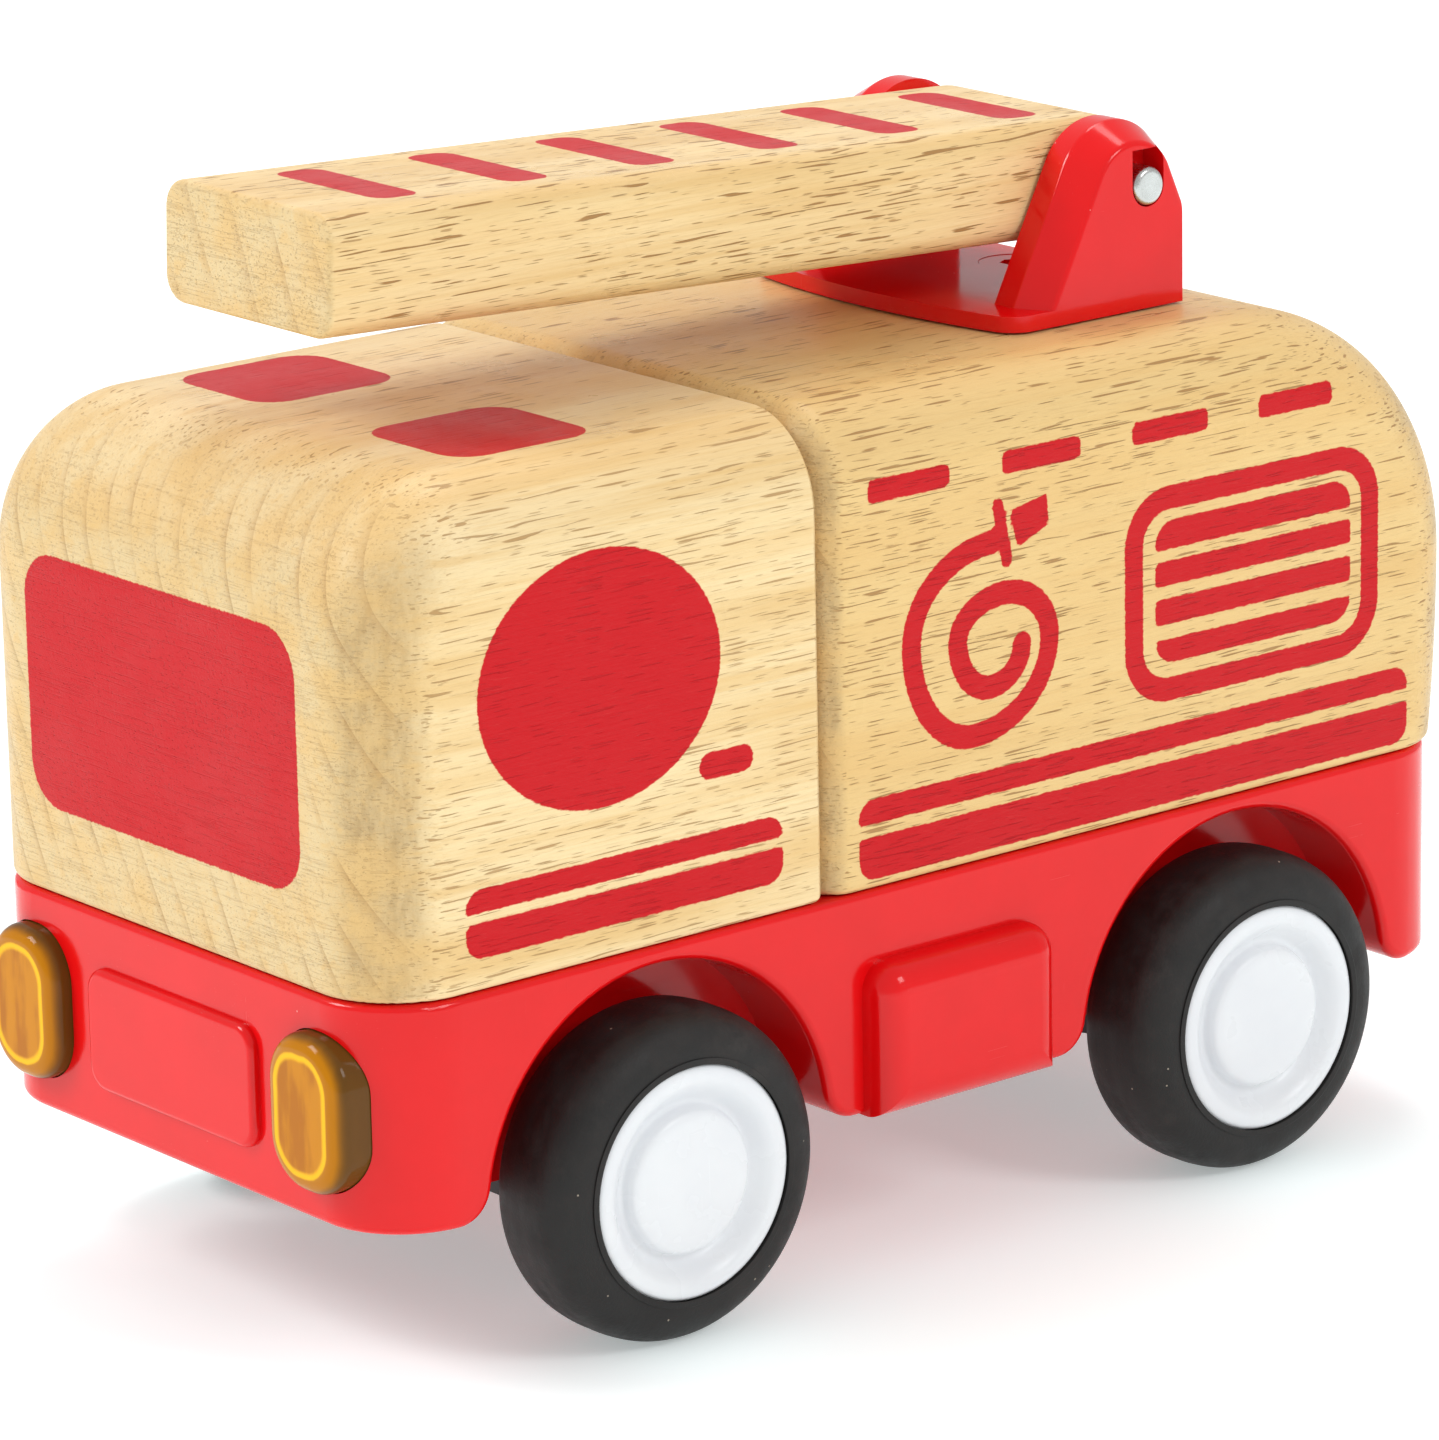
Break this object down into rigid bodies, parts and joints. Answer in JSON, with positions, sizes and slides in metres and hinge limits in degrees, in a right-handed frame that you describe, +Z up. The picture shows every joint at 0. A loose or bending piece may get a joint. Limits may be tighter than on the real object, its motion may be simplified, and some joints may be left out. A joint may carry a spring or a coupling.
{
  "type": "toy fire engine",
  "caption": "Toy fire engine: two wooden blocks on a moulded chassis with free rolling wheels and a ladder that swings and rises.",
  "frame": {"origin": "bottom centre of the overall box, on the floor under the tyres", "axes": "+Z up, -Y towards the front of the vehicle, +X towards its left side"},
  "size_m": [0.065, 0.123, 0.0943],
  "materials": {
    "red_plastic": "glossy moulded red",
    "beech": "sanded beech under thin clear lacquer",
    "amber_lens": "clear amber moulding",
    "tyre_rubber": "matte charcoal rubber",
    "white_plastic": "glossy moulded white",
    "dark_plastic": "matte moulded dark grey",
    "bright_steel": "bright drawn steel",
    "zinc_screw": "zinc plated"
  },
  "bodies": {
    "chassis": {"chassis_shell": "red_plastic", "cab_block": "beech", "rear_block": "beech", "cab_block_screws": "zinc_screw", "rear_block_screws": "zinc_screw", "left_headlamp_lens": "amber_lens", "right_headlamp_lens": "amber_lens", "keeper_screws": "zinc_screw", "front_axle_keeper": "dark_plastic", "rear_axle_keeper": "dark_plastic", "swivel_screw": "zinc_screw"},
    "front_wheels": {"front_axle": "bright_steel", "front_left_tyre": "tyre_rubber", "front_left_hub": "white_plastic", "front_right_tyre": "tyre_rubber", "front_right_hub": "white_plastic"},
    "rear_wheels": {"rear_axle": "bright_steel", "rear_left_tyre": "tyre_rubber", "rear_left_hub": "white_plastic", "rear_right_tyre": "tyre_rubber", "rear_right_hub": "white_plastic"},
    "bracket": {"ladder_bracket": "red_plastic", "ladder_pin": "bright_steel"},
    "ladder": {"ladder_bar": "beech"}
  },
  "joints": [
    {"name": "front_axle_spin", "type": "hinge", "parent": "chassis", "child": "front_wheels", "pos_m": [0, -0.031, 0.01425], "axis": [1, 0, 0], "continuous": true},
    {"name": "rear_axle_spin", "type": "hinge", "parent": "chassis", "child": "rear_wheels", "pos_m": [0, 0.0335, 0.01425], "axis": [1, 0, 0], "continuous": true},
    {"name": "ladder_swing", "type": "hinge", "parent": "chassis", "child": "bracket", "pos_m": [0, 0.0332, 0.0752], "axis": [0, 0, 1], "continuous": true},
    {"name": "ladder_raise", "type": "hinge", "parent": "bracket", "child": "ladder", "pos_m": [0, 0.0332, 0.0859], "axis": [-1, 0, 0], "range_deg": [-6.2, 87.7]}
  ]
}
